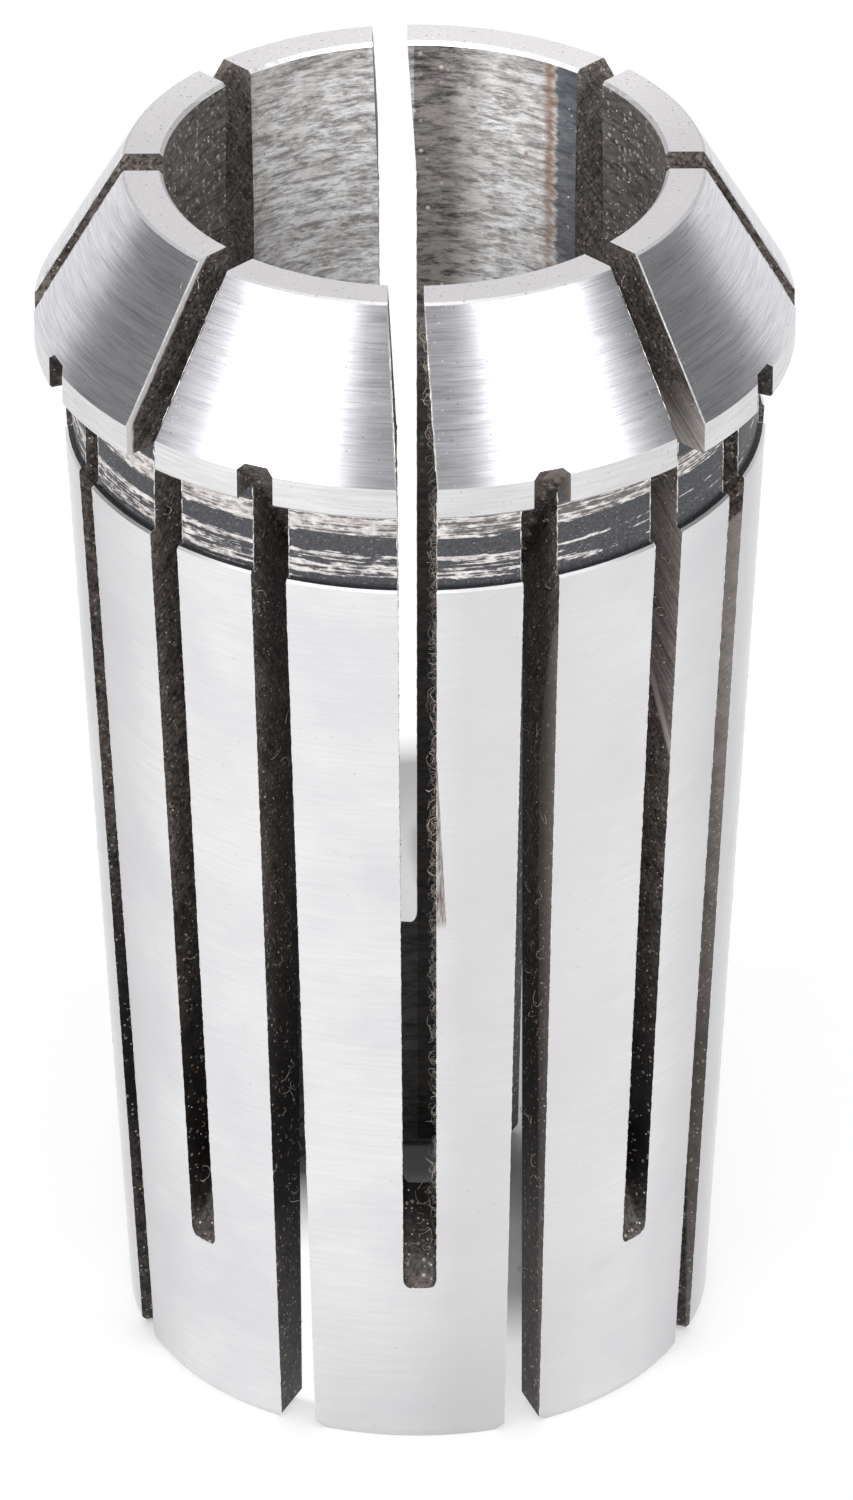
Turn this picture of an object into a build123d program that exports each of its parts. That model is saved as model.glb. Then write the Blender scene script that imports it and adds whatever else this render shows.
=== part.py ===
"""Double-slit spring collet, one hardened and ground piece.

Millimetres, +Z up.  The collet stands on its tail: the origin is the centre of the
tail face and the axis is +Z, so the nut cone and the mouth of the bore are at the top.
Slot 0 faces -Y and the slots are counted anticlockwise seen from above.
"""
import os
from math import radians, sqrt, tan

from build123d import *

# --- overall -------------------------------------------------------------------
length = 52.0                  # tail face to front face
rim_diameter = 29.8            # widest place, the size the collet is named by
bore_diameter = 19.6           # plain clamping bore

# --- head: nut cone, rim, extraction groove -------------------------------------
cone_height = 6.15             # front face down to the rim
cone_half_angle = 30.0         # degrees off the axis
rim_height = 1.33              # plain band of full diameter
groove_width = 3.84            # rim underside down to the seat
groove_depth = 0.30            # below the top of the seat, on the radius
rim_edge = 0.10                # edge breaks left by turning
face_edge = 0.08
mouth_chamfer = 0.14

# --- seat and tail ----------------------------------------------------------------
seat_diameter = 27.54          # top of the taper seat
taper_ratio = 10.0             # the seat loses 1 mm of diameter in this many mm
seat_edge = 0.10
tail_chamfer = 0.45            # outer edge of the tail, axial
tail_chamfer_in = 0.25         # same edge, radial
tail_bore_edge = 0.40

# --- slots --------------------------------------------------------------------------
slot_count = 8                 # from each end
head_slot_width = 1.55         # slots sawn from the head, at the rim
head_foot_width = 1.34         # the same slots near their end
head_mouth_width = 1.38        # and at the front face, where the jaws close in
head_slot_end = 7.5            # outer lip of the slot end above the tail face
tail_slot_width = 1.50         # slots sawn from the tail
tail_slot_past_rim = 0.40      # how far they run into the cone
tail_slot_turn = 20.6          # degrees from a head slot to the next tail slot
tail_slot_ease = 0.35          # corners broken where they open at the tail face
saw_radius = 25.0              # the slitting saw leaves its own arc at each slot end
saw_reach = 3.0                # how far its edge stands inside the bore wall
slot_corner = 0.28             # corners of the slot ends, round at the tail and bevelled at the head

# Where a head slot lies off its mark, along the circle: (below the rim, at the mouth).
slot_lean = {0: (0.05, -0.34), 1: (0.10, 0.0), 4: (0.67, 0.95), 7: (-0.05, 0.40)}

# --- worked out from the above --------------------------------------------------------
rim_r = rim_diameter / 2
bore_r = bore_diameter / 2
seat_r = seat_diameter / 2
groove_r = seat_r - groove_depth
rim_top = length - cone_height
rim_bottom = rim_top - rim_height
seat_top = rim_bottom - groove_width
face_r = rim_r - cone_height * tan(radians(cone_half_angle))
saw_offset = bore_r + saw_radius - saw_reach   # saw arbor to collet axis
clear = 2.0                    # how far the cutters stand proud of the metal


def seat_radius(z):
    """Radius of the taper seat at height z."""
    return seat_r - (seat_top - z) / taper_ratio / 2


def arc_drop(r):
    """Height between the saw's arbor and its edge, at radius r from the collet axis."""
    return sqrt(saw_radius ** 2 - (saw_offset - r) ** 2)


def turned_blank():
    """The collet before slitting: one closed section turned about the axis."""
    tail_r = seat_radius(0)
    section = Polyline(
        (bore_r + tail_bore_edge, 0),
        (tail_r - tail_chamfer_in, 0),
        (seat_radius(tail_chamfer), tail_chamfer),
        (seat_radius(seat_top - seat_edge), seat_top - seat_edge),
        (seat_r - seat_edge, seat_top),
        (groove_r, seat_top),
        (groove_r, rim_bottom),
        (rim_r - rim_edge, rim_bottom),
        (rim_r, rim_bottom + rim_edge),
        (rim_r, rim_top),
        (face_r + face_edge * tan(radians(cone_half_angle)), length - face_edge),
        (face_r - face_edge, length),
        (bore_r + mouth_chamfer, length),
        (bore_r, length - mouth_chamfer),
        (bore_r, tail_bore_edge),
        close=True,
    )
    return revolve(Plane.XZ * make_face(section), Axis.Z)


def saw_cut(width, lip_r, lip_z, up, open_z):
    """One slot through the wall at -Y.  up is +1 for a slot open towards the head, -1
    towards the tail; lip_r and lip_z are where the slot end meets the outside."""
    inner, outer = bore_r - clear / 2, rim_r + clear
    arbor = lip_z + up * arc_drop(lip_r)

    def edge(r):
        return (-r, arbor - up * arc_drop(r))

    end = ThreePointArc(edge(inner), edge((inner + outer) / 2), edge(outer))
    sides = Polyline(edge(outer), (-outer, open_z), (-inner, open_z), edge(inner))
    blank = extrude(Plane.YZ * make_face([end, sides]), amount=width / 2, both=True)
    corners = blank.edges().filter_by(GeomType.CIRCLE)
    return fillet(corners, slot_corner) if up > 0 else chamfer(corners, slot_corner)


def jaw_gap(low, mouth):
    """Front view of a head slot above its end: it widens up to the rim, then the jaws
    close in and lean towards the mouth."""
    foot, w, m = head_foot_width / 2, head_slot_width / 2, head_mouth_width / 2
    rise = (cone_height + clear) / cone_height
    start = head_slot_end + arc_drop(seat_radius(head_slot_end)) - arc_drop(bore_r) + clear / 2
    outline = Polyline(
        (low - foot, start),
        (low + foot, start),
        (low + w, rim_top),
        (low + w + (mouth + m - low - w) * rise, length + clear),
        (low - w + (mouth - m - low + w) * rise, length + clear),
        (low - w, rim_top),
        close=True,
    )
    return extrude(Plane.XZ * make_face(outline), amount=rim_r + clear)


def head_slot(index):
    """Cutter for head slot number index, turned to its place."""
    low, mouth = slot_lean.get(index, (0.0, 0.0))
    below = saw_cut(head_foot_width, seat_radius(head_slot_end), head_slot_end, +1, rim_top)
    cutter = Pos(low, 0, 0) * below + jaw_gap(low, mouth)
    return Rot(0, 0, index * 360 / slot_count) * cutter


def eased_opening():
    """Front view of a tail slot's opening, with its two corners broken at the tail face."""
    w, wide = tail_slot_width / 2, tail_slot_width / 2 + tail_slot_ease + clear
    outline = Polyline((-w, tail_slot_ease), (w, tail_slot_ease), (wide, -clear), (-wide, -clear),
                       close=True)
    return extrude(Plane.XZ * make_face(outline), amount=rim_r + clear)


def tail_slot(index):
    """Cutter for tail slot number index, turned to its place."""
    cut = saw_cut(tail_slot_width, rim_r, rim_top + tail_slot_past_rim, -1, -clear)
    cut += eased_opening()
    return Rot(0, 0, tail_slot_turn + index * 360 / slot_count) * cut


def collet():
    body = turned_blank()
    cuts = [head_slot(i) for i in range(slot_count)]
    cuts += [tail_slot(i) for i in range(slot_count)]
    body = body - cuts
    body.label = "collet_body"
    return body


os.makedirs("parts", exist_ok=True)
part = collet()
export_step(part, "parts/collet_body.step")
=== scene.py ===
import math

import bmesh
import bpy
from mathutils import Matrix, Vector


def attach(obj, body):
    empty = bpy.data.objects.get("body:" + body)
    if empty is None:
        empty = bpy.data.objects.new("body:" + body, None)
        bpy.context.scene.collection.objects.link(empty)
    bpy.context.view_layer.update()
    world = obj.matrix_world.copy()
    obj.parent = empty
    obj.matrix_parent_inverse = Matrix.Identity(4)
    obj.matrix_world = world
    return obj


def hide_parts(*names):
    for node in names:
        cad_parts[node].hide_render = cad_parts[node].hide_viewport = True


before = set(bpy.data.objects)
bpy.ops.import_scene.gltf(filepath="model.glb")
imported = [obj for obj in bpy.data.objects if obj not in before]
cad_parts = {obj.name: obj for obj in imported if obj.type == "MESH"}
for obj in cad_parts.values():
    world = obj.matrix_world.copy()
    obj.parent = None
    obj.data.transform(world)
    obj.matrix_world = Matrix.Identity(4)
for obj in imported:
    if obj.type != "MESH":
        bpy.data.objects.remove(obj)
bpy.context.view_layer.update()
MM = 0.001

# --- sizes of the collet, in millimetres ----------------------------------------------
LENGTH, RIM_TOP, RIM_BOTTOM, SEAT_TOP = 52.0, 45.85, 44.52, 40.68
BORE_R, GROOVE_R, RIM_R, SEAT_R = 9.8, 13.47, 14.9, 13.77
CONE_SLOPE = math.tan(math.radians(30))
FACE_R = RIM_R - (LENGTH - RIM_TOP) * CONE_SLOPE
TAPER = 10.0                   # mm of length to each mm of diameter
MOUTH_EDGE, RIM_EDGE, SEAT_EDGE = 0.14, 0.10, 0.10
SLOT_STEP = 45.0               # degrees between slots of one set
TAIL_TURN = 20.6               # degrees from a head slot to the next tail slot
SAW_R, SAW_OFFSET = 25.0, 31.8  # the slitting saw, and its arbor's distance from the axis
CONE_EDGE = 0.05               # how wide the head slots' edges on the cone are broken

# --- how facets are told apart --------------------------------------------------------
ON_SURFACE = 0.006             # mm, how near a corner lies to the surface it belongs to
ONE_PLANE = 0.3                # degrees between two facets that are joined into one
SHARP = 28                     # degrees between two facets that meet at a sharp edge

# --- marks of use, in millimetres and in degrees round --------------------------------
CHIP_FOOT, CHIP_TOP = 25.1, 33.2           # heights of the chip beside the front slot
CHIP_WIDE, CHIP_NARROW = 1.14, 0.78        # from the slot's middle, at its foot and its top
RUST_LINE = 147.0                          # degrees round to the rust at the back of the bore
LIP = 0.32                                 # width of the bright lip on the left slot
STEP_TOP, STEP_FOOT = 33.5, 29.3           # second saw cut on the right slot's wall
STEP_R, STEP_SLOPE = 12.2, 0.35            # its radius at the top, and how it runs outwards
RUBBED_R, RUBBED_DEPTH = 13.7, 2.1         # rubbed walls, and how far in from this radius
FRONT_RUBBED = (38.5, 31.0)                # heights where the rubbing starts and is deepest
SIDE_RUBBED = (39.2, 36.6)                 # the same in the next slot to the right


def seat_radius(z):
    return SEAT_R - (SEAT_TOP - z) / TAPER / 2


def cone_radius(z):
    return FACE_R + (LENGTH - z) * CONE_SLOPE


def place_of(at):
    """Degrees round the axis, 0 at the front slot and growing anticlockwise."""
    return math.degrees(math.atan2(at.x, -at.y))


def tone(code):
    """Linear colour from its usual written form, such as "#e6e5e7"."""
    parts = (int(code[i:i + 2], 16) / 255 for i in (1, 3, 5))
    return tuple(c / 12.92 if c <= 0.04045 else ((c + 0.055) / 1.055) ** 2.4 for c in parts)


def placed(name, data):
    """A new object in the scene."""
    obj = bpy.data.objects.new(name, data)
    bpy.context.collection.objects.link(obj)
    return obj


# --- node trees -----------------------------------------------------------------------
class Tree:
    """Short-hand for adding and linking nodes."""

    def add(self, kind, **settings):
        node = self.tree.nodes.new(kind)
        for key, value in settings.items():
            setattr(node, key, value)
        return node

    def put(self, socket, value):
        if hasattr(value, "is_linked"):
            self.tree.links.new(value, socket)
        else:
            socket.default_value = value

    def fill(self, node, **values):
        """Inputs by name, with _ for a space."""
        for key, value in values.items():
            self.put(node.inputs[key.replace("_", " ")], value)
        return node

    def split(self, vector):
        node = self.add("ShaderNodeSeparateXYZ")
        self.put(node.inputs[0], vector)
        return node.outputs

    def scaled(self, vector, factor):
        node = self.add("ShaderNodeVectorMath", operation="SCALE")
        self.put(node.inputs[0], vector)
        self.put(node.inputs["Scale"], factor)
        return node.outputs[0]

    def math(self, operation, a, b=0.0, c=0.0):
        node = self.add("ShaderNodeMath", operation=operation)
        for socket, value in zip(node.inputs, (a, b, c)):
            self.put(socket, value)
        return node.outputs[0]

    def times(self, first, *others):
        for other in others:
            first = self.math("MULTIPLY", first, other)
        return first

    def plus(self, a, b):
        return self.math("ADD", a, b)

    def minus(self, a, b):
        return self.math("SUBTRACT", a, b)

    def distance(self, value, middle=0.0):
        """How far the value is from the middle, to either side."""
        return self.math("ABSOLUTE", self.minus(value, middle))

    def over(self, value, limit):
        return self.math("GREATER_THAN", value, limit)

    def under(self, value, limit):
        return self.math("LESS_THAN", value, limit)

    def span(self, value, low, high, to_low=0.0, to_high=1.0):
        node = self.add("ShaderNodeMapRange", clamp=True)
        self.fill(node, Value=value, From_Min=low, From_Max=high, To_Min=to_low, To_Max=to_high)
        return node.outputs[0]

    def radius(self, x, y):
        return self.math("SQRT", self.plus(self.times(x, x), self.times(y, y)))

    def noise(self, vector, scale=1.0, detail=2.0, rough=0.5, warp=0.0, output="Fac"):
        node = self.add("ShaderNodeTexNoise")
        self.fill(node, Vector=vector, Scale=scale, Detail=detail, Roughness=rough, Distortion=warp)
        return node.outputs[output]


class Finish(Tree):
    """One material.  x, y, z and r are the place on the collet in millimetres, and turn is
    in degrees round the axis, 0 at the front slot and growing anticlockwise."""

    def __init__(self, name):
        self.mat = bpy.data.materials.new(name)
        self.mat.use_nodes = True
        self.tree = self.mat.node_tree
        self.shader = self.tree.nodes["Principled BSDF"]
        self.at = self.scaled(self.add("ShaderNodeTexCoord").outputs["Object"], 1 / MM)
        self.x, self.y, self.z = self.split(self.at)
        self.r = self.radius(self.x, self.y)
        self.turn = self.math("DEGREES", self.math("ARCTAN2", self.x, self.times(self.y, -1.0)))

    def stretched(self, x, y, z):
        """Place for noise, with cells per mm along each axis."""
        node = self.add("ShaderNodeVectorMath", operation="MULTIPLY")
        self.put(node.inputs[0], self.at)
        node.inputs[1].default_value = (x, y, z)
        return node.outputs[0]

    def around(self, along, up):
        """Place for noise that runs round the collet: cells per mm along and up."""
        return self.stretched(along, along, up)

    def beside_head_slot(self):
        """Millimetres along the circle from the nearest head slot."""
        shifted = self.math("FLOORED_MODULO", self.plus(self.turn, SLOT_STEP / 2), SLOT_STEP)
        return self.times(self.math("RADIANS", self.distance(shifted, SLOT_STEP / 2)), self.r)

    def saw_line(self, up):
        """Height of the saw's arbor when its edge passed here: even along one saw mark."""
        reach = self.minus(SAW_OFFSET, self.r)
        drop = self.math("SQRT", self.minus(SAW_R ** 2, self.times(reach, reach)))
        return self.plus(self.z, self.times(drop, up))

    def mix(self, amount, a, b):
        node = self.add("ShaderNodeMix", data_type="RGBA")
        self.put(node.inputs[0], amount)
        for socket, value in ((node.inputs[6], a), (node.inputs[7], b)):
            self.put(socket, (*tone(value), 1) if isinstance(value, str) else value)
        return node.outputs[2]

    def specks(self, size, share, seed=0.0):
        """1 on scattered round specks of about this size in millimetres, 0 between them."""
        moved = self.add("ShaderNodeVectorMath", operation="ADD")
        self.put(moved.inputs[0], self.at)
        moved.inputs[1].default_value = (seed, seed, seed)
        cells = self.add("ShaderNodeTexVoronoi", feature="F1")
        self.fill(cells, Vector=moved.outputs[0], Scale=0.4 / size)
        pick = self.add("ShaderNodeSeparateColor")
        self.put(pick.inputs[0], cells.outputs["Color"])
        here = self.span(pick.outputs[0], 1 - share, 1 - share + 0.02)
        return self.times(here, self.span(cells.outputs["Distance"], 0.42, 0.2))

    def bump(self, height, depth_mm):
        node = self.add("ShaderNodeBump")
        self.fill(node, Strength=1.0, Distance=depth_mm * MM, Height=height)
        self.put(self.shader.inputs["Normal"], node.outputs[0])

    def finish(self, color, rough, metal=1.0, brushed=0.0):
        """brushed blurs reflections across lines that run round the axis."""
        s = self.shader.inputs
        self.put(s["Base Color"], (*tone(color), 1) if isinstance(color, str) else color)
        self.put(s["Roughness"], rough)
        s["Metallic"].default_value = metal
        if brushed:
            s["Anisotropic"].default_value = brushed
            s["Anisotropic Rotation"].default_value = 0.25
            along = self.add("ShaderNodeCombineXYZ")
            self.fill(along, X=self.times(self.y, -1.0), Y=self.x)
            self.put(s["Tangent"], along.outputs[0])
        return self.mat


# --- finishes of the turned surfaces -------------------------------------------------------
def front_face():
    n = Finish("lapped_front_face")
    grain = n.noise(n.at, 7.0, 3, 0.7)
    broad = n.noise(n.at, 0.5, 2)
    color = n.mix(n.span(grain, 0.3, 0.7), "#cbc9ca", "#e2e0e2")
    color = n.mix(n.span(broad, 0.35, 0.65, 0, 0.5), color, "#d2d0d2")
    # Painted shade: the face's front half is darker.
    color = n.mix(n.span(n.y, 2, 8), n.mix(0.35, color, "#aeacae"), color)
    color = n.mix(n.specks(0.05, 0.05), color, "#8b8886")
    n.bump(grain, 0.004)
    return n.finish(color, 0.5)


def nut_cone():
    n = Finish("ground_nut_cone")
    lines = n.noise(n.around(0.5, 11), 1.0, 4, 0.65)
    wide = n.noise(n.around(0.25, 2.2), 1.0, 3, 0.6)
    hair = n.noise(n.around(0.35, 24), 1.0, 2, 0.6)
    color = n.mix(n.span(lines, 0.25, 0.75), "#bdbcc3", "#f0f0f3")
    color = n.mix(n.span(wide, 0.3, 0.7, 0, 0.35), color, "#cfccd3")
    color = n.mix(n.span(hair, 0.56, 0.66, 0, 0.5), color, "#a3a2ab")
    nicks = n.times(n.specks(0.06, 0.12), n.span(n.beside_head_slot(), 1.9, 0.8))
    color = n.mix(nicks, color, "#ffffff")
    color = n.mix(n.times(n.specks(0.05, 0.03, 9), 0.7), color, "#8f8d92")
    n.bump(n.plus(lines, n.times(wide, 0.5)), 0.0035)
    return n.finish(color, n.span(wide, 0.3, 0.7, 0.29, 0.35), brushed=0.75)


def rim_band():
    n = Finish("turned_rim")
    lines = n.noise(n.around(0.5, 9), 1.0, 4, 0.6)
    color = n.mix(n.span(lines, 0.3, 0.7), "#d2d1d2", "#e8e8e9")
    # Painted shade: the rim is darker on its front right.
    front_right_shade = n.times(n.span(n.turn, -8, 12, 0, 0.35), n.span(n.turn, 56, 40))
    color = n.mix(front_right_shade, color, "#c2c0c1")
    upright = n.noise(n.around(7, 1), 1.0, 2)
    worn = n.times(n.span(upright, 0.66, 0.72), n.span(n.noise(n.at, 0.3, 1), 0.52, 0.60, 0, 0.6))
    color = n.mix(worn, color, "#a5a3a3")
    color = n.mix(n.times(n.specks(0.05, 0.04), 0.5), color, "#9a9795")
    n.bump(lines, 0.002)
    return n.finish(color, 0.42, brushed=0.4)


# How readily the tool cut through the scale: share of the groove's width from the seat up,
# and level. The low last stops, under the rim, are a painted shadow of the rim.
BARE_BANDS_AND_RIM_SHADOW = ((0.0, 0.30), (0.05, 0.40), (0.13, 0.51), (0.23, 0.46), (0.29, 0.52), (0.33, 0.62),
              (0.38, 0.24), (0.52, 0.22), (0.58, 0.57), (0.77, 0.60), (0.83, 0.20), (1.0, 0.15))


def turned_groove():
    """Dark scale in the groove, cut through by the tool in broken rings, with a painted shadow under the rim.
    """
    n = Finish("scaled_groove")
    height = n.span(n.z, SEAT_TOP, RIM_BOTTOM)
    bands = n.add("ShaderNodeValToRGB")
    ramp = bands.color_ramp
    ramp.interpolation = "EASE"
    for i, (where, level) in enumerate(BARE_BANDS_AND_RIM_SHADOW):
        stop = ramp.elements[i] if i < 2 else ramp.elements.new(where)
        stop.position = where
        stop.color = (level, level, level, 1)
    wander = n.span(n.noise(n.around(0.09, 0), 1.0, 1), 0.2, 0.8, -0.04, 0.04)
    n.put(bands.inputs[0], n.plus(height, wander))

    rings = n.noise(n.around(0.28, 10), 1.0, 3, 0.62)
    breaks = n.noise(n.around(1.6, 4.5), 1.0, 3, 0.7)
    chance = n.plus(n.times(rings, 1.15), n.times(breaks, 0.62))
    needed = n.span(n.turn, -6, 24, 1.365, 1.48)
    low_right = n.times(n.span(n.turn, 20, 44, 0.02, 0.11), n.span(height, 0.64, 0.54))
    needed = n.plus(needed, low_right)
    bare = n.span(n.minus(n.plus(chance, bands.outputs[0]), needed), -0.035, 0.045)

    scale = n.mix(n.span(n.noise(n.at, 9.0, 3, 0.7), 0.3, 0.7), "#47474b", "#66676b")
    scale = n.mix(n.times(n.specks(0.045, 0.14), 0.5), scale, "#a8a6a6")
    # The lighter brown band stops short of the top, where the painted shadow under the rim lies.
    upper = n.times(n.span(height, 0.56, 0.62), n.span(height, 0.83, 0.77, 0, 0.45))
    scale = n.mix(upper, scale, "#938b87")
    metal = n.mix(n.span(breaks, 0.35, 0.65), "#a8a19e", "#ece8e6")
    n.bump(n.minus(rings, n.times(bare, 0.25)), 0.014)
    return n.finish(n.mix(bare, scale, metal), n.span(bare, 0, 1, 0.55, 0.36), metal=0.9)


def front_chip(n):
    """1 on the chip along the right edge of the front slot, which narrows upwards."""
    edge = n.span(n.z, CHIP_FOOT, CHIP_TOP, CHIP_WIDE, CHIP_NARROW)
    along = n.times(n.under(n.x, edge), n.over(n.x, 0.0))
    return n.times(along, n.under(n.y, 0.0), n.span(n.z, CHIP_FOOT - 0.2, CHIP_FOOT + 0.2))


def taper_seat():
    n = Finish("ground_taper_seat")
    lines = n.noise(n.around(0.45, 8), 1.0, 4, 0.6)
    cloud = n.noise(n.around(0.16, 0.16), 1.0, 3, 0.6)
    color = n.mix(n.span(lines, 0.25, 0.75), "#e0dfe1", "#ececed")
    color = n.mix(n.span(cloud, 0.4, 0.66, 0, 0.55), color, "#d4d2d5")
    # Painted shade: the seat is darker on its front right.
    front_right_shade = n.times(n.span(n.turn, -3, 8), n.span(n.turn, 40, 24, 0.25, 0.6))
    color = n.mix(front_right_shade, color, "#cecccd")
    # Painted shade: the seat is darker towards its sides.
    off_front = n.distance(n.turn)
    sides = n.times(n.span(off_front, 48, 68), n.span(off_front, 84, 72, 0, 0.5))
    color = n.mix(sides, color, "#b7b5b8")
    # Painted shade: the seat is darker at its foot towards the front, near the floor.
    foot = n.times(n.span(n.z, 9, 1), n.span(off_front, 35, 15, 0, 0.45))
    color = n.mix(foot, color, "#b9b8ba")
    torn = n.noise(n.stretched(9, 1, 1), 1.0, 3, 0.7)
    color = n.mix(front_chip(n), color, n.mix(n.span(torn, 0.35, 0.65), "#6a615c", "#c4bcb8"))
    color = n.mix(n.times(n.specks(0.06, 0.012), 0.6), color, "#9f9d9d")
    n.bump(lines, 0.0016)
    return n.finish(color, 0.40, brushed=0.3)


def heat_bands(n, color):
    """A rust line down the bore, with a blue band beside it."""
    off = n.minus(n.turn, RUST_LINE)
    off = n.plus(off, n.span(n.noise(n.around(1.0, 5.0), 1.0, 3), 0.3, 0.7, -0.7, 0.7))
    straw = n.times(n.span(n.distance(off), 1.8, 0.4), n.span(n.z, 41, 47, 0.35, 0.7))
    blue = n.times(n.span(off, -1.3, -2.4, 0, 0.8), n.span(off, -12, -11))
    return n.mix(blue, n.mix(straw, color, "#95684a"), "#454b57")


def bore():
    """Streaked steel, with a painted highlight in a band near the back and painted shade away from the back
    and deep down; dust lies on the shaded part.
    """
    n = Finish("honed_bore")
    wave = n.noise(n.around(0.75, 3.4), 1.0, 5, 0.72, 0.5)
    fine = n.noise(n.around(2.4, 8.0), 1.0, 3, 0.75)
    both = n.plus(n.times(wave, 0.65), n.times(fine, 0.35))
    streak = n.span(both, 0.41, 0.57)
    # Painted highlight: a bright band beside the back of the bore.
    off_back = n.minus(180.0, n.distance(n.turn))
    highlight_beside_back = n.mix(n.over(n.turn, 0.0), n.span(off_back, 1, 8, 0.45, 0.9), n.span(off_back, 8, 18))
    highlight_band = n.times(n.span(off_back, 50, 36), highlight_beside_back)
    highlight_band = n.times(highlight_band, n.span(n.z, 51.6, 49.5, 0.7, 1.0))
    color = n.mix(highlight_band, n.mix(streak, "#3b3837", "#96918e"), n.mix(streak, "#979392", "#ffffff"))
    color = n.mix(n.span(n.noise(n.at, 0.8, 3), 0.45, 0.75, 0, 0.35), color, "#9a928c")
    # Painted shade away from the back, where dust specks also lie.
    stained = n.span(off_back, 40, 46)
    color = n.mix(n.times(stained, 0.45), color, "#35312f")
    color = n.mix(n.times(n.specks(0.085, 0.30, 7), n.times(stained, 0.7)), color, "#c9c1b9")
    color = n.mix(n.times(n.specks(0.11, 0.08), 0.8), color, "#d8d0c8")
    color = n.mix(n.times(n.specks(0.13, 0.025, 5), 0.7), color, "#9c7458")
    color = heat_bands(n, color)
    # Painted shade: darker deep down in the bore.
    color = n.mix(n.span(n.z, 40, 36, 0, 0.8), color, "#1c1b1a")
    n.bump(both, 0.012)
    return n.finish(color, 0.5, metal=0.35, brushed=0.35)


# --- finishes of the sawn walls --------------------------------------------------------------
# Near-black used for soot and grain, and for painted shade low in the slots.
SOOT_AND_SHADE = "#141211"


def between(n, low, high):
    """1 between two places round the axis, in degrees."""
    return n.times(n.over(n.turn, low), n.under(n.turn, high))


def rubbed_wall(n, inwards, level):
    """How much the outer part of a wall is rubbed; inwards is how deep, below zero."""
    return n.span(n.minus(n.minus(n.r, RUBBED_R), inwards), -0.05, 0.05, 0, level)


def rubbed_head_walls(n, color, marks):
    """A bright lip on the left slot's cone edge; saw marks, a bright foot and the mark of a
    second cut on the right slot's outer wall."""
    outside = n.plus(n.times(n.minus(LENGTH, n.z), CONE_SLOPE), FACE_R)
    depth = n.minus(n.math("MINIMUM", outside, RIM_R), n.r)
    depth = n.plus(depth, n.span(n.noise(n.at, 1.3, 2), 0.3, 0.7, -0.05, 0.05))
    left = n.times(n.under(n.turn, -SLOT_STEP), n.span(n.turn, -56, -54))
    left = n.times(left, n.over(n.z, RIM_BOTTOM))
    color = n.mix(n.times(n.span(depth, LIP + 0.06, LIP - 0.06), left), color, "#eceaea")

    right = n.times(n.over(n.turn, SLOT_STEP), n.span(n.turn, 56, 54))
    foot = n.times(n.span(n.z, 47.2, 45.6), n.span(n.z, RIM_BOTTOM - 0.2, RIM_BOTTOM, 0, 0.9))
    foot = n.times(foot, n.span(marks, 0.35, 0.6, 0.45, 1.0))
    color = n.mix(n.times(foot, right), color, "#cfc7c3")

    step = n.minus(n.r, n.plus(n.times(n.minus(STEP_TOP, n.z), STEP_SLOPE), STEP_R))
    above = n.times(n.span(step, -0.04, 0.04), n.span(n.z, 44, 41))
    above = n.times(above, n.span(marks, 0.35, 0.65, 0.2, 0.8))
    color = n.mix(n.times(above, right), color, "#b0a6a0")
    line = n.span(n.z, STEP_FOOT - 0.3, STEP_FOOT + 0.3, 0, 0.85)
    line = n.times(n.span(n.distance(step), 0.24, 0.08), line)
    line = n.times(line, n.span(n.z, STEP_TOP + 0.7, STEP_TOP - 0.1))
    return n.mix(n.times(line, right), color, "#d5ccc6")


def rubbed_tail_walls(n, color, stain):
    """Soot in the slot ends at the sides, and rubbed outer walls in two slots on the right."""
    end = n.span(n.z, RIM_BOTTOM - 0.1, RIM_BOTTOM + 0.1)
    end = n.times(end, n.span(n.distance(n.turn), 40, 50, 0, 0.6))
    color = n.mix(end, color, SOOT_AND_SHADE)

    inwards = n.times(n.math("SQRT", n.span(n.z, *FRONT_RUBBED)), -RUBBED_DEPTH)
    rubbed = n.times(rubbed_wall(n, inwards, 0.6), n.span(n.z, 8, 26, 0.4, 1.0))
    color = n.mix(n.times(rubbed, between(n, TAIL_TURN, 30.0)), color, "#988f8a")

    inwards = n.span(n.z, *SIDE_RUBBED, 0, -RUBBED_DEPTH)
    rubbed = n.times(rubbed_wall(n, inwards, 0.85), n.under(n.z, SIDE_RUBBED[0] + 0.1))
    rubbed = n.times(rubbed, n.span(stain, 0.35, 0.6, 0.72, 1.0))
    rubbed = n.times(rubbed, n.span(n.z, 14, 34, 0.35, 1.0))
    return n.mix(n.times(rubbed, between(n, TAIL_TURN + SLOT_STEP, 78.0)), color, "#cac1bb")


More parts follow.
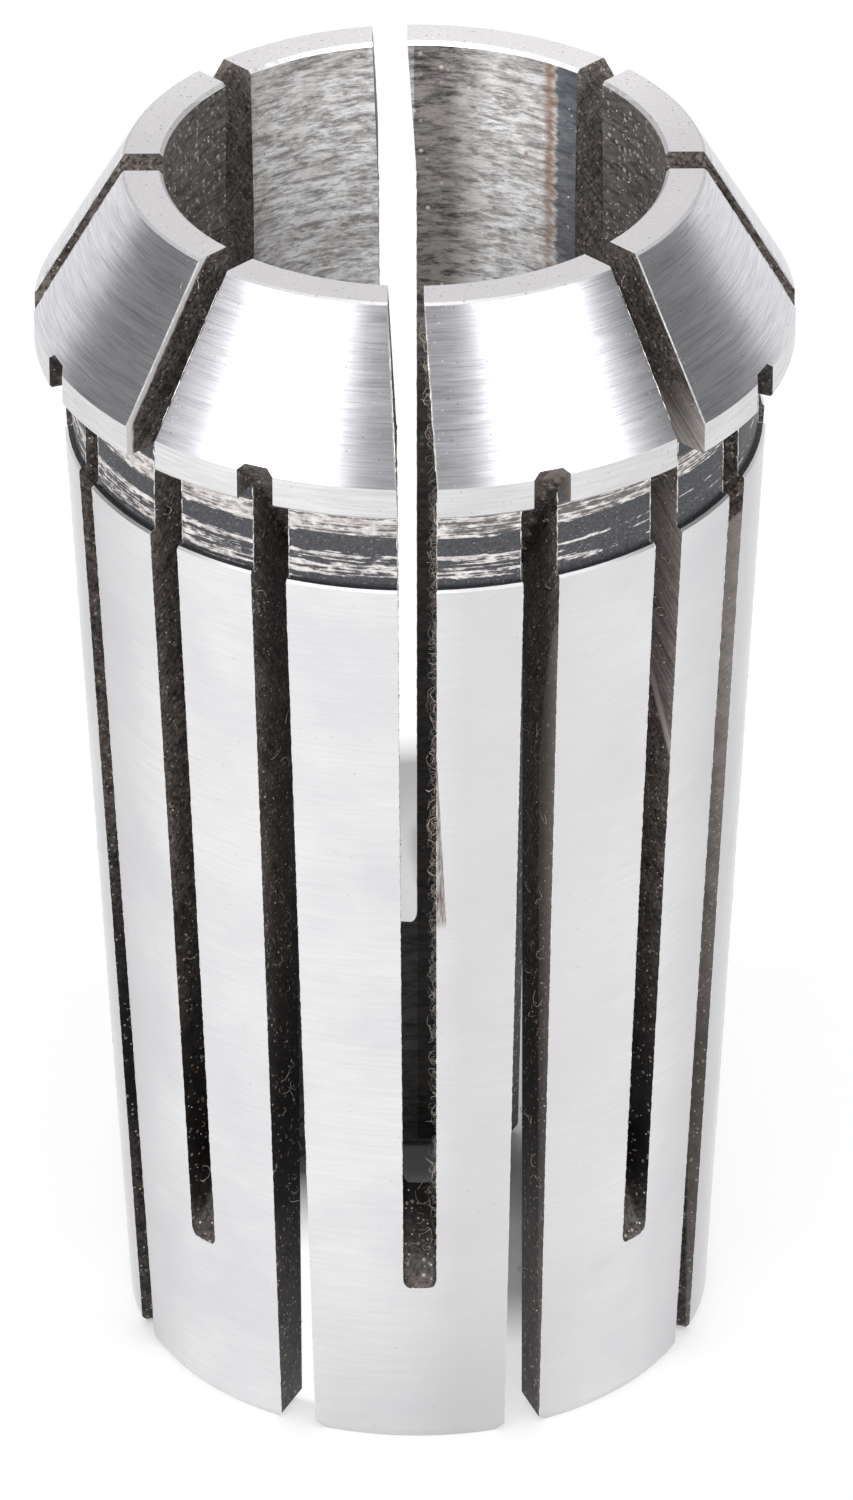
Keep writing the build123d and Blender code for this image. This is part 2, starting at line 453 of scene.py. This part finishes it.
def slot_wall(name, up, dark, light):
    """Sawn wall, stained brown-black; up is +1 in slots open to the head, -1 to the tail."""
    n = Finish(name)
    across = n.add("ShaderNodeCombineXYZ")
    n.fill(across, X=n.times(n.saw_line(up), 5.0), Y=n.times(n.r, 0.2))
    marks = n.noise(across.outputs[0], 1.0, 3, 0.6)
    stain = n.noise(n.at, 0.9, 4, 0.65)
    grain = n.noise(n.at, 6.0, 3, 0.7)
    color = n.mix(n.span(stain, 0.35, 0.65), dark, light)
    color = n.mix(n.times(n.span(marks, 0.40, 0.72), n.span(n.z, 30, 46, 0.3, 0.6)), color, "#b3a9a3")
    color = n.mix(n.span(grain, 0.36, 0.58, 0.85, 0), color, SOOT_AND_SHADE)
    # Painted shade: darker in the middle and lower part of the walls.
    deep = n.times(n.span(n.z, 26, 15, 0, 0.95), n.span(n.z, 8.3, 10.5, 0.5, 1.0))
    color = n.mix(deep, color, SOOT_AND_SHADE)
    rust = n.times(n.span(n.noise(n.at, 1.7, 3, 0.6, 0.5), 0.58, 0.72), n.span(n.z, 8, 20, 0.1, 0.4))
    color = n.mix(rust, color, "#6b4632")
    color = n.mix(n.times(n.specks(0.09, 0.13), 0.8), color, "#b9afa7")
    color = n.mix(n.specks(0.05, 0.06, 4), color, "#ddd5cd")
    # Painted light: the outer part of the front slot's walls is lighter.
    outer = n.times(n.span(n.r, 11.2, 12.6, 0, 0.4), between(n, 0.0, 8.0))
    color = n.mix(n.times(outer, n.span(n.z, 14, 24)), color, "#9a918b")
    if up > 0:
        color = rubbed_head_walls(n, color, marks)
    else:
        color = rubbed_tail_walls(n, color, stain)
    n.bump(n.plus(grain, n.times(marks, 1.5)), 0.02)
    return n.finish(color, 0.55, metal=0.35)


def head_slot_wall():
    return slot_wall("head_slot_wall", +1, "#4a4442", "#8a827d")


def tail_slot_wall():
    return slot_wall("tail_slot_wall", -1, "#3f3a38", "#7a736f")


def bright_edge():
    n = Finish("rubbed_edge")
    patch = n.noise(n.at, 2.5, 3, 0.7)
    return n.finish(n.mix(n.span(patch, 0.35, 0.55), "#dddbdb", "#ffffff"), 0.4)


def loose_stuff(name, dark, light):
    """Dust and fibres that lie in the slots."""
    n = Finish(name)
    return n.finish(n.mix(n.span(n.noise(n.at, 3.0, 2), 0.4, 0.6), dark, light), 0.8, metal=0.0)


# --- the collet's own surface ------------------------------------------------------------------
FINISHES = [front_face, nut_cone, rim_band, turned_groove, taper_seat, head_slot_wall, tail_slot_wall,
            bore, bright_edge]
FACE, CONE, RIM, GROOVE, SEAT, HEAD_WALL, TAIL_WALL, BORE, EDGE = range(len(FINISHES))
WALLS = (HEAD_WALL, TAIL_WALL)


def off_seat_edge(r, z):
    on_edge = z > SEAT_TOP - SEAT_EDGE * 1.2
    return r - SEAT_R + SEAT_EDGE + z - SEAT_TOP if on_edge else 1


# Each turned surface: its finish, and how far a point at radius r and height z lies off it.
SURFACES = (
    (FACE, lambda r, z: z - LENGTH),
    (SEAT, lambda r, z: z),
    (BORE, lambda r, z: r - BORE_R),
    (EDGE, lambda r, z: r - BORE_R - MOUTH_EDGE + LENGTH - z),
    (CONE, lambda r, z: r - cone_radius(z)),
    (RIM, lambda r, z: r - RIM_R),
    (RIM, lambda r, z: r - RIM_R + RIM_EDGE + RIM_BOTTOM - z),
    (GROOVE, lambda r, z: z - RIM_BOTTOM),
    (GROOVE, lambda r, z: r - GROOVE_R),
    (GROOVE, lambda r, z: z - SEAT_TOP),
    (SEAT, off_seat_edge),
    (SEAT, lambda r, z: r - seat_radius(z)),
)


def sideways(face):
    """How squarely a facet faces along the circle, from 0 to 1."""
    at = face.calc_center_median()
    out = Vector((at.x, at.y, 0)).normalized()
    return abs(face.normal.dot(Vector((-out.y, out.x, 0))))


def finish_of(face):
    """Which finish a facet of the collet has: a turned surface that all its corners lie on,
    or else the wall of the slot it is in."""
    corners = [(math.hypot(v.co.x, v.co.y) / MM, v.co.z / MM) for v in face.verts]
    middle = face.calc_center_median() / MM
    if sideways(face) < 0.7:
        for kind, off in SURFACES:
            if all(abs(off(r, z)) < ON_SURFACE for r, z in corners):
                return FACE if kind == EDGE and middle.y < 5 else kind
        if middle.z < 1:
            return SEAT
        if middle.z > LENGTH - 0.2 and face.normal.z > 0.3:
            return FACE
    in_step = place_of(middle) % SLOT_STEP
    return TAIL_WALL if abs(in_step - TAIL_TURN) < SLOT_STEP / 4 else HEAD_WALL


def is_wall(face):
    return face.material_index in WALLS


def welded_collet():
    """The solid's surface with its doubles merged and one finish on each facet."""
    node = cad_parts["collet_body"]
    bm = bmesh.new()
    bm.from_mesh(node.data)
    bm.transform(node.matrix_world)
    bmesh.ops.remove_doubles(bm, verts=bm.verts, dist=1e-7)
    for face in bm.faces:
        face.material_index = finish_of(face)
    bmesh.ops.dissolve_limit(bm, angle_limit=math.radians(ONE_PLANE), verts=bm.verts, edges=bm.edges,
                             delimit={"MATERIAL"})
    bmesh.ops.recalc_face_normals(bm, faces=bm.faces)
    return bm


def break_cone_edges(bm):
    """Break the head slots' edges on the nut cone, which then catch the light."""
    width = CONE_EDGE * MM

    def on_cone(edge):
        kinds = [f.material_index for f in edge.link_faces]
        return CONE in kinds and HEAD_WALL in kinds and edge.calc_length() > 2 * width

    bmesh.ops.bevel(bm, geom=list(filter(on_cone, bm.edges)), offset=width, offset_type="OFFSET",
                    affect="EDGES", segments=1, profile=0.5, clamp_overlap=False, material=EDGE)


# How far each turned surface leans up from level with the radius.
SLOPES = {CONE: CONE_SLOPE, RIM: 0.0, GROOVE: 0.0, SEAT: -0.5 / TAPER, BORE: 0.0}


def turned_normal(kind, at, flat):
    """True normal of a turned surface, or None where the facet isn't on one."""
    slope = SLOPES.get(kind)
    if slope is None or abs(flat.z - slope) > 0.2:
        return None
    side = (-1 if kind == BORE else 1) / math.hypot(at.x, at.y)
    return Vector((side * at.x, side * at.y, slope)).normalized()


def corner_normals(bm):
    """Normals for the narrow facets between a slot's walls and its end: each corner takes
    the normal of the wall or end that it touches, so the facet looks round."""
    def narrow(face):
        return is_wall(face) and 0.45 < sideways(face) < 0.9

    found = {}
    for face in filter(narrow, bm.faces):
        for i, loop in enumerate(face.loops):
            beside = [f for edge in (loop.edge, loop.link_loop_prev.edge) for f in edge.link_faces
                      if is_wall(f) and not narrow(f)]
            if beside:
                found[face.index, i] = beside[0].normal.copy()
    return found


def shade(mesh):
    """Smooth within one finish, sharp between two, and exact on the turned surfaces."""
    bm = bmesh.new()
    bm.from_mesh(mesh)
    for face in bm.faces:
        face.smooth = True
    for edge in bm.edges:
        kinds = {f.material_index for f in edge.link_faces}
        edge.smooth = len(kinds) == 1 and math.degrees(edge.calc_face_angle(0)) < SHARP
    rounded = corner_normals(bm)
    bm.to_mesh(mesh)
    bm.free()
    normals = [c.vector.copy() for c in mesh.corner_normals]
    for face in mesh.polygons:
        for i, corner in enumerate(face.loop_indices):
            at = mesh.vertices[mesh.loops[corner].vertex_index].co
            true = turned_normal(face.material_index, at, face.normal)
            normals[corner] = true or rounded.get((face.index, i), normals[corner])
    mesh.normals_split_custom_set(normals)


def own(obj, replaced=None):
    """Give a finished piece to the collet's body."""
    if replaced:
        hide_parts(replaced)
    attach(obj, "root")


def collet_piece(welded):
    bm = welded.copy()
    break_cone_edges(bm)
    mesh = bpy.data.meshes.new("steel_collet")
    for make in FINISHES:
        mesh.materials.append(make())
    bm.to_mesh(mesh)
    bm.free()
    shade(mesh)
    own(placed("steel_collet", mesh), "collet_body")


# --- what repeats: fibres, grit and torn edges ---------------------------------------------
OFF_TAIL, OFF_FACE = 0.6, 0.7  # mm that loose stuff keeps from the collet's two ends
ANY_TURN = (6.28, 6.28, 6.28)  # radians, the most that a piece is turned about each axis


class Growth(Tree):
    """A node tree that takes a mesh in metres and gives back what repeats on it."""

    def __init__(self, name, **inputs):
        self.name, self.values = name, inputs
        self.tree = bpy.data.node_groups.new(name, "GeometryNodeTree")
        sockets = self.tree.interface
        sockets.new_socket("Geometry", in_out="INPUT", socket_type="NodeSocketGeometry")
        for label, value in inputs.items():
            kind = "NodeSocketInt" if isinstance(value, int) else "NodeSocketFloat"
            sockets.new_socket(label, in_out="INPUT", socket_type=kind)
        sockets.new_socket("Geometry", in_out="OUTPUT", socket_type="NodeSocketGeometry")
        self.given = self.add("NodeGroupInput").outputs

    def in_metres(self, label):
        """An input of the tree that is given in millimetres."""
        return self.times(self.given[label], MM)

    def place(self):
        return self.add("GeometryNodeInputPosition").outputs[0]

    def kept(self, label):
        """A number stored on the mesh."""
        node = self.add("GeometryNodeInputNamedAttribute", data_type="FLOAT")
        node.inputs["Name"].default_value = label
        return node.outputs[0]

    def random(self, low, high, seed):
        """A different vector between two vectors on each point."""
        node = self.add("FunctionNodeRandomValue", data_type="FLOAT_VECTOR")
        self.put(node.inputs[0], low)
        self.put(node.inputs[1], high)
        node.inputs["Seed"].default_value = seed
        return node.outputs[0]

    def ring(self, resolution, radius):
        node = self.add("GeometryNodeCurvePrimitiveCircle")
        return self.fill(node, Resolution=resolution, Radius=radius).outputs[0]

    def scatter(self, piece, scale):
        """The piece on random points of the mesh, well inside the collet's outline."""
        points = self.add("GeometryNodeDistributePointsOnFaces")
        density = self.times(self.given["per_mm2"], self.times(self.kept("share"), 1 / MM ** 2))
        self.fill(points, Mesh=self.given["Geometry"], Density=density, Seed=self.given["seed"])
        x, y, z = self.split(self.place())
        taper = self.math("DIVIDE", self.minus(z, SEAT_TOP * MM), 2 * TAPER)
        limit = self.plus(self.in_metres("reach"), self.math("MINIMUM", taper, 0.0))
        outside = self.over(self.radius(x, y), limit)
        low, high = self.under(z, OFF_TAIL * MM), self.over(z, (LENGTH - OFF_FACE) * MM)
        drop = self.add("GeometryNodeDeleteGeometry", domain="POINT")
        self.fill(drop, Geometry=points.outputs["Points"], Selection=self.plus(outside, self.plus(low, high)))
        place = self.add("GeometryNodeInstanceOnPoints")
        self.fill(place, Points=drop.outputs[0], Instance=piece, Scale=scale,
                  Rotation=self.random((0, 0, 0), ANY_TURN, 3))
        return place.outputs[0]

    def grow(self, mesh, geometry, material):
        """Realize the geometry as a plain piece."""
        real = self.add("GeometryNodeRealizeInstances")
        self.put(real.inputs[0], geometry)
        paint = self.add("GeometryNodeSetMaterial")
        self.put(paint.inputs["Geometry"], real.outputs[0])
        paint.inputs["Material"].default_value = material
        self.put(self.add("NodeGroupOutput").inputs[0], paint.outputs[0])
        obj = placed(self.name, mesh)
        mod = obj.modifiers.new(self.name, "NODES")
        mod.node_group = self.tree
        for item in self.tree.interface.items_tree:
            if item.name in self.values:
                mod[item.identifier] = self.values[item.name]
        graph = bpy.context.evaluated_depsgraph_get()
        made = bpy.data.meshes.new_from_object(obj.evaluated_get(graph), depsgraph=graph)
        obj.modifiers.clear()
        obj.data = made
        own(obj)


def facets(welded, share):
    """A mesh of the facets that share(finish, degrees round, x) gives more than 0."""
    bm = welded.copy()
    layer = bm.faces.layers.float.new("share")
    for face in bm.faces:
        at = face.calc_center_median() / MM
        face[layer] = share(face.material_index, place_of(at), at.x)
    bmesh.ops.delete(bm, geom=[f for f in bm.faces if f[layer] <= 0], context="FACES")
    bmesh.ops.triangulate(bm, faces=bm.faces)
    mesh = bpy.data.meshes.new("source")
    bm.to_mesh(mesh)
    bm.free()
    return mesh


def lint(welded):
    """Curled fibres, thick on one wall of the front slot and thin in the others."""
    def share(kind, turn, x):
        if kind not in WALLS or abs(turn) > 75:
            return 0.0
        if kind == HEAD_WALL and abs(turn) < 8:
            return 1.0 if x > 0 else 0.0
        return 0.06

    n = Growth("slot_lint", per_mm2=6.0, seed=4, reach=13.2, curl=0.32, wire=0.012)
    curl = n.add("GeometryNodeCurveSpiral")
    large = n.in_metres("curl")
    n.fill(curl, Resolution=9, Rotations=0.85, Start_Radius=n.times(large, 0.375), End_Radius=large,
           Height=n.times(large, 0.5))
    wire = n.add("GeometryNodeCurveToMesh")
    n.fill(wire, Curve=curl.outputs[0], Profile_Curve=n.ring(3, n.in_metres("wire")))
    fibres = n.scatter(wire.outputs[0], n.random((0.5, 0.5, 0.5), (1.5, 1.5, 1.5), 8))
    n.grow(facets(welded, share), fibres, loose_stuff("lint", "#8d8178", "#d2c8c0"))


def grit(welded):
    """Fine grains on the slot walls and on the dark parts of the bore."""
    def share(kind, turn, x):
        if kind == BORE:
            return 1.6 if 38 < abs(turn) < 142 else 0.0
        return {TAIL_WALL: 1.0, HEAD_WALL: 0.7}.get(kind, 0.0) if abs(turn) <= 80 else 0.0

    n = Growth("slot_grit", per_mm2=2.4, seed=9, reach=13.68, grain=0.034)
    grain = n.add("GeometryNodeMeshIcoSphere")
    n.fill(grain, Radius=n.in_metres("grain"), Subdivisions=1)
    grains = n.scatter(grain.outputs[0], n.random((0.4, 0.4, 0.4), (1.7, 1.3, 1.3), 5))
    n.grow(facets(welded, share), grains, loose_stuff("grit", "#6f6762", "#cfc6be"))


GROOVE_BURR, CONE_BURR, SEAT_BURR = 0.06, 0.02, 0.014     # mm, the radius of the torn metal
CONE_INSET, OTHER_INSET = 0.7, 0.05        # mm that it stops short of a slot edge's ends
SHORTEST = 0.02                            # mm, and no torn metal on edges under this


def burr_size(x, y, z):
    """Radius in mm of the torn metal on a slot edge at this place, 0 for none."""
    r = math.hypot(x, y)
    if SEAT_TOP + 0.02 < z < RIM_BOTTOM - 0.25 and r < GROOVE_R + 0.02:
        return GROOVE_BURR
    if RIM_TOP + 0.7 < z < LENGTH - 0.2 and r > BORE_R + 0.5:
        return CONE_BURR
    if 1.0 < z < SEAT_TOP and r > BORE_R + 1:
        return SEAT_BURR
    return 0.0


def slot_edges(welded):
    """Loose edges along the outside of the slots, each corner with its burr's size."""
    bm = bmesh.new()
    size = bm.verts.layers.float.new("size")
    made = {}
    for edge in welded.edges:
        long = edge.calc_length() / MM
        middle = (edge.verts[0].co + edge.verts[1].co) / 2 / MM
        radius = burr_size(*middle)
        if not radius or long < SHORTEST or sum(map(is_wall, edge.link_faces)) != 1:
            continue
        inset = min(0.5, (CONE_INSET if middle.z > RIM_TOP else OTHER_INSET) / long)
        ends = []
        for vert in edge.verts:
            inside = burr_size(*(vert.co / MM))
            if not inside:
                end = bm.verts.new(vert.co.lerp(edge.other_vert(vert).co, inset))
            elif vert in made:
                end = made[vert]
            else:
                end = made[vert] = bm.verts.new(vert.co)
            end[size] = max(end[size], inside or radius / 2)
            ends.append(end)
        bm.edges.new(ends)
    mesh = bpy.data.meshes.new("edges")
    bm.to_mesh(mesh)
    bm.free()
    return mesh


def burrs(welded):
    """Torn, rubbed metal along the outer edges of the slots."""
    n = Growth("edge_burrs", step=0.07, jitter=0.22)
    line = n.add("GeometryNodeMeshToCurve")
    n.put(line.inputs["Mesh"], n.given["Geometry"])
    even = n.add("GeometryNodeResampleCurve", mode="LENGTH")
    n.fill(even, Curve=line.outputs[0], Length=n.in_metres("step"))
    at = n.scaled(n.place(), 1 / MM)
    centred = n.add("ShaderNodeVectorMath", operation="SUBTRACT")
    n.put(centred.inputs[0], n.noise(at, 4.0, 3.0, 0.7, output="Color"))
    centred.inputs[1].default_value = (0.5, 0.5, 0.5)
    wander = n.times(n.given["jitter"], n.span(n.kept("size"), SEAT_BURR, GROOVE_BURR, 0.3, 1.0))
    moved = n.add("GeometryNodeSetPosition")
    n.fill(moved, Geometry=even.outputs[0], Offset=n.scaled(centred.outputs[0], n.times(wander, MM)))
    uneven = n.span(n.noise(at, 3.0, 3, 0.75), 0.38, 0.62, 0.0, 1.5)
    thick = n.times(n.times(n.kept("size"), uneven), MM)
    radius = n.add("GeometryNodeSetCurveRadius")
    n.fill(radius, Curve=moved.outputs[0], Radius=thick)
    wire = n.add("GeometryNodeCurveToMesh")
    n.fill(wire, Curve=radius.outputs[0], Profile_Curve=n.ring(4, 1.0), Scale=thick)
    n.grow(slot_edges(welded), wire.outputs[0], bright_edge())


steel = welded_collet()
collet_piece(steel)
burrs(steel)
lint(steel)
grit(steel)
steel.free()


# --- studio ---------------------------------------------------------------------------
ROOM_LIGHT = 0.75              # what the room gives to the matt surfaces
FLOOR_LIFT = 0.62              # how much of the floor's white is its own
FLOOR_HALF = 1.2               # metres from the collet to the floor's sides
CARD_DISTANCE = 0.6            # metres
MIDDLE = 0.026                 # half the collet's height, in metres
SHADOW_END = (43.5, 40.5)      # mm behind the axis where the painted shadow fades out


def white_rays(tree):
    """1 for the rays that should see the white room: straight, reflected and through glass."""
    rays = tree.add("ShaderNodeLightPath")
    seen = tree.math("MAXIMUM", rays.outputs["Is Camera Ray"], rays.outputs["Is Glossy Ray"])
    return tree.math("MAXIMUM", seen, rays.outputs["Is Transmission Ray"])


def staged(name, corners, faces, material):
    """A piece of the studio."""
    mesh = bpy.data.meshes.new(name)
    mesh.from_pydata(corners, [], faces)
    mesh.materials.append(material)
    obj = placed(name, mesh)
    return obj


def floor_shadow(n):
    """1 on the painted shadow behind the collet, a bell that fades at its sides."""
    off_axis = n.distance(n.x)
    far = n.plus(n.y, n.times(off_axis, n.times(off_axis, 0.12)))
    behind = n.times(n.span(n.y, 4, 8), n.span(far, *SHADOW_END))
    return n.times(behind, n.span(off_axis, 13, 3))


def floor():
    """White paper that keeps shadows. Its own white is left off under the bore, except at the front and in a
    painted pool of light on the left, and behind the collet, where a painted shadow darkens it.
    """
    n = Finish("floor_paper")
    behind = floor_shadow(n)
    # The floor's own white also reaches under the front of the bore: painted light there.
    open_floor = n.math("MAXIMUM", n.span(n.r, BORE_R, BORE_R + 3), n.span(n.y, -1, -5))
    open_floor = n.times(open_floor, n.minus(1.0, behind))
    # Painted light: a brighter patch on the floor inside the bore, on the left.
    painted_light_inside = n.times(n.span(n.x, -0.8, -3), n.span(n.y, 8, 2))
    painted_light_inside = n.times(painted_light_inside, n.span(n.r, BORE_R + 1, BORE_R))
    open_floor = n.math("MAXIMUM", open_floor, n.times(painted_light_inside, 1.6))
    # Painted shadow: the paper is grey behind the collet.
    n.finish(n.mix(behind, "#f7f7f7", "#9c9c9c"), 0.9, metal=0.0)
    white = n.add("ShaderNodeEmission")
    both = n.add("ShaderNodeMixShader")
    n.put(both.inputs[0], n.times(n.times(white_rays(n), open_floor), FLOOR_LIFT))
    n.put(both.inputs[1], n.shader.outputs[0])
    n.put(both.inputs[2], white.outputs[0])
    n.put(n.tree.nodes["Material Output"].inputs[0], both.outputs[0])
    s = FLOOR_HALF
    staged("floor", [(-s, -s, 0), (s, -s, 0), (s, s, 0), (-s, s, 0)], [(0, 1, 2, 3)], n.mat)


def dark_card(name, turn, half_width, low, high, level):
    """A studio card that only reflections see: grey in the middle, fading to white at its
    sides.  turn is degrees from the front, low and high are degrees above the floor."""
    n = Finish(name)
    off = n.distance(n.turn, turn)
    glow = n.add("ShaderNodeEmission")
    n.put(glow.inputs["Strength"], n.span(off, half_width * 0.62, half_width, level, 1.0))
    n.put(n.tree.nodes["Material Output"].inputs[0], glow.outputs[0])
    steps = 12
    turns = [math.radians(turn + half_width * (2 * i / steps - 1)) for i in range(steps + 1)]
    heights = [CARD_DISTANCE * math.tan(math.radians(e)) + MIDDLE for e in (low, high)]
    corners = [(CARD_DISTANCE * math.sin(a), -CARD_DISTANCE * math.cos(a), z)
               for z in heights for a in turns]
    row = len(turns)
    card = staged(name, corners, [(i, i + 1, i + 1 + row, i + row) for i in range(steps)], n.mat)
    card.visible_camera = card.visible_diffuse = False
    card.visible_shadow = card.visible_transmission = False


def lamp(name, kind, at, look, watts):
    """A lamp that points from one place to another, in metres."""
    data = bpy.data.lights.new(name, kind)
    data.energy = watts
    obj = placed(name, data)
    obj.location = at
    obj.rotation_euler = (Vector(look) - Vector(at)).to_track_quat("-Z", "Y").to_euler()
    return data


def softbox(name, at, size, watts, look=(0, 0, MIDDLE)):
    data = lamp(name, "AREA", at, look, watts)
    data.shape = "RECTANGLE"
    data.size, data.size_y = size


def bore_lamp(at, look, degrees, watts):
    """A narrow lamp through the mouth on to the back of the bore."""
    data = lamp("bore_lamp", "SPOT", at, look, watts)
    data.spot_size = math.radians(degrees)
    data.spot_blend = 1.0
    data.shadow_soft_size = 0.003


class Room(Tree):
    """The white room round the collet."""

    def __init__(self):
        world = bpy.data.worlds.new("studio")
        bpy.context.scene.world = world
        world.use_nodes = True
        self.tree = world.node_tree
        level = self.span(white_rays(self), 0, 1, ROOM_LIGHT, 1.0)
        self.fill(self.tree.nodes["Background"], Color=(1, 1, 1, 1), Strength=level)


SENSOR = 36                    # mm
FRAME_PX, FOCAL_PX = 1500, 12957.87
CAMERA_AT = (0, -0.442259, 0.293455)
CAMERA_AHEAD = (0.000769, 0.855044, -0.518555)
CAMERA_UP = (0.003870, 0.518549, 0.855039)


def camera():
    data = bpy.data.cameras.new("camera")
    data.sensor_width = SENSOR
    data.lens = FOCAL_PX * SENSOR / FRAME_PX
    data.clip_start, data.clip_end = 0.02, 10
    obj = placed("camera", data)
    ahead, up = Vector(CAMERA_AHEAD).normalized(), Vector(CAMERA_UP).normalized()
    turn = Matrix((ahead.cross(up), up, -ahead)).transposed().to_4x4()
    obj.matrix_world = Matrix.Translation(CAMERA_AT) @ turn
    bpy.context.scene.camera = obj


floor()
Room()
softbox("left_softbox", (-0.42, -0.43, 0.31), (0.40, 0.34), 1.6)
softbox("right_softbox", (0.42, -0.43, 0.31), (0.40, 0.34), 1.4)
softbox("top_softbox", (0.0, 0.15, 0.65), (0.4, 0.4), 0.7)
softbox("bore_softbox", (0.0, -0.25, 0.58), (0.22, 0.22), 0.6, (0, 0, 0.05))
bore_lamp((0.0, -0.22, 0.56), (0.0022, 0.0085, 0.0455), 1.9, 13.0)
dark_card("front_card", 0.0, 25.0, 6.0, 60.0, 0.09)
dark_card("left_card", -101.0, 27.0, -2.0, 45.0, 0.14)
dark_card("right_card", 97.0, 31.0, -2.0, 45.0, 0.13)
camera()
bpy.context.scene.view_settings.view_transform = "Standard"
